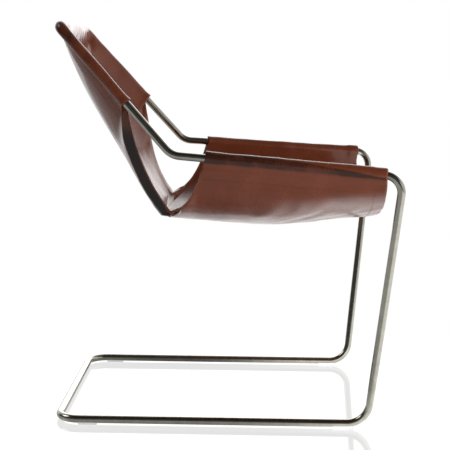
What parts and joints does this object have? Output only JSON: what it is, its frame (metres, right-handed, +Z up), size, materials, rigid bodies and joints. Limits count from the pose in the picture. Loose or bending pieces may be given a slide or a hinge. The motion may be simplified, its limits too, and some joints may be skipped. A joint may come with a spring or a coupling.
{
  "type": "sling lounge chair",
  "caption": "Cantilever lounge chair: a leather sling seat and back hung in sleeves on a continuous bent steel bar whose front legs spring.",
  "frame": {"origin": "on the floor, midway along the chair's depth and width", "axes": "+X forward, +Y to the sitter's left, +Z up"},
  "size_m": [0.7275, 0.694, 0.8494],
  "materials": {
    "steel": "polished stainless bar",
    "leather": "glossy thick saddle hide",
    "hem_leather": "glossy thick saddle hide, doubled",
    "glide": "clear moulded plastic"
  },
  "bodies": {
    "base": {"base_bar": "steel", "leg_flex_left": "steel", "leg_flex_right": "steel", "glide_front_left": "glide", "glide_front_right": "glide", "glide_rear_left": "glide", "glide_rear_right": "glide"},
    "upper": {"upper_bar": "steel", "sling_panel": "leather", "top_pocket": "leather", "arm_sleeve_left": "leather", "arm_sleeve_right": "leather", "back_sleeve_left": "leather", "back_sleeve_right": "leather", "front_hem": "hem_leather", "notch_hem_left": "hem_leather", "notch_hem_right": "hem_leather", "arm_flap_left": "hem_leather", "arm_flap_right": "hem_leather", "back_flap_left": "hem_leather", "back_flap_right": "hem_leather"}
  },
  "joints": [
    {"name": "leg_spring", "type": "hinge", "parent": "base", "child": "upper", "pos_m": [0.3326, 0, 0.2772], "axis": [0, -1, 0], "range_deg": [-1, 6], "stiffness_Nm_per_rad": 3040, "springref_deg": -0.41, "deforming": ["leg_flex_left", "leg_flex_right"]}
  ]
}
